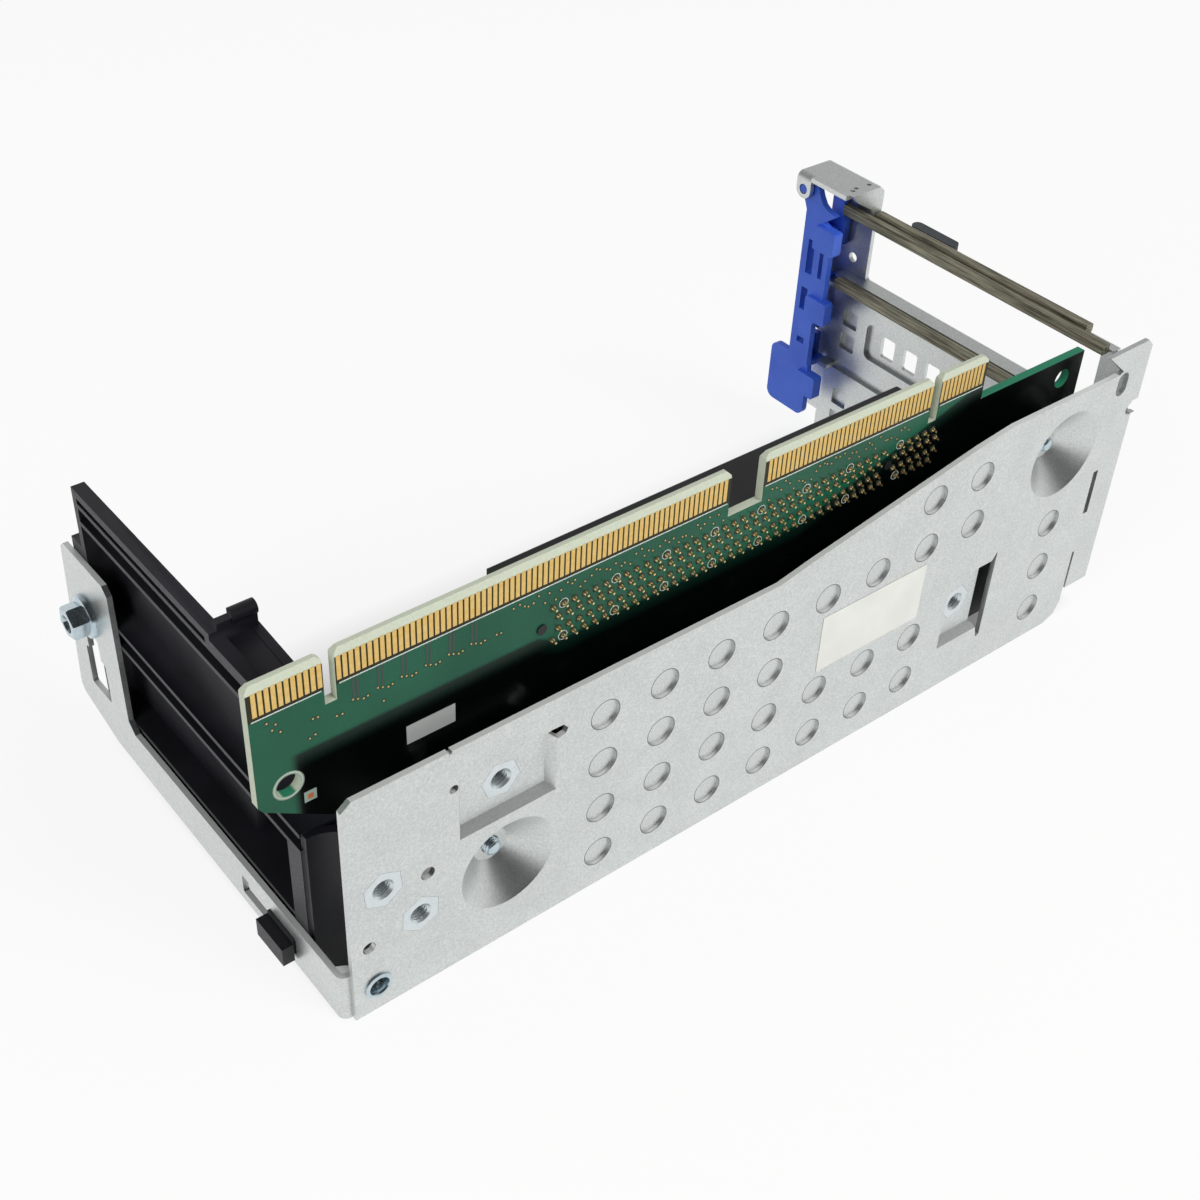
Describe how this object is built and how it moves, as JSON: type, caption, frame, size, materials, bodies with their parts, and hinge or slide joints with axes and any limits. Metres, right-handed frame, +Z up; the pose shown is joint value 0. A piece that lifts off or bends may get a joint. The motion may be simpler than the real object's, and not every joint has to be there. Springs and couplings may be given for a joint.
{
  "type": "riser cage bracket",
  "caption": "Sheet-metal cage that holds a vertical riser board with card slots between a moulded card guide and a rear panel with a hinged retention lever.",
  "frame": {"origin": "centre of the footprint's bounding box, on the plane the cage rests on", "axes": "+X along the riser board towards the rear panel, +Y from the side plate towards the open card side, +Z up towards the board's contact edge"},
  "size_m": [0.19, 0.09, 0.07],
  "materials": {
    "galvanised": "satin",
    "zinc": "satin",
    "latch_blue": "satin",
    "guide_black": "matt",
    "connector_black": "satin",
    "board_green": "gloss",
    "contact_gold": "satin",
    "gasket_fabric": "matt",
    "pad_rubber": "matt",
    "label_paper": "matt"
  },
  "bodies": {
    "cage": {"side_plate": "galvanised", "end_strap": "galvanised", "rear_panel": "galvanised", "filler_bracket_middle": "galvanised", "filler_bracket_lower": "galvanised", "gasket_top_outer": "gasket_fabric", "gasket_top_inner": "gasket_fabric", "gasket_middle": "gasket_fabric", "outer_pad": "pad_rubber", "riser_board": "board_green", "edge_contacts": "contact_gold", "slot_connector_top": "connector_black", "slot_connector_middle": "connector_black", "slot_connector_bottom": "connector_black", "card_guide": "guide_black", "clinch_nuts": "zinc", "board_screws": "zinc", "flange_screw": "zinc", "eyelet": "zinc", "plate_label": "label_paper", "board_sticker": "label_paper"},
    "latch": {"retention_latch": "latch_blue"}
  },
  "joints": [
    {"name": "latch_hinge", "type": "hinge", "parent": "cage", "child": "latch", "pos_m": [0.0868, 0.03943, 0.0604], "axis": [1, 0, 0], "range_deg": [0, 95]}
  ]
}
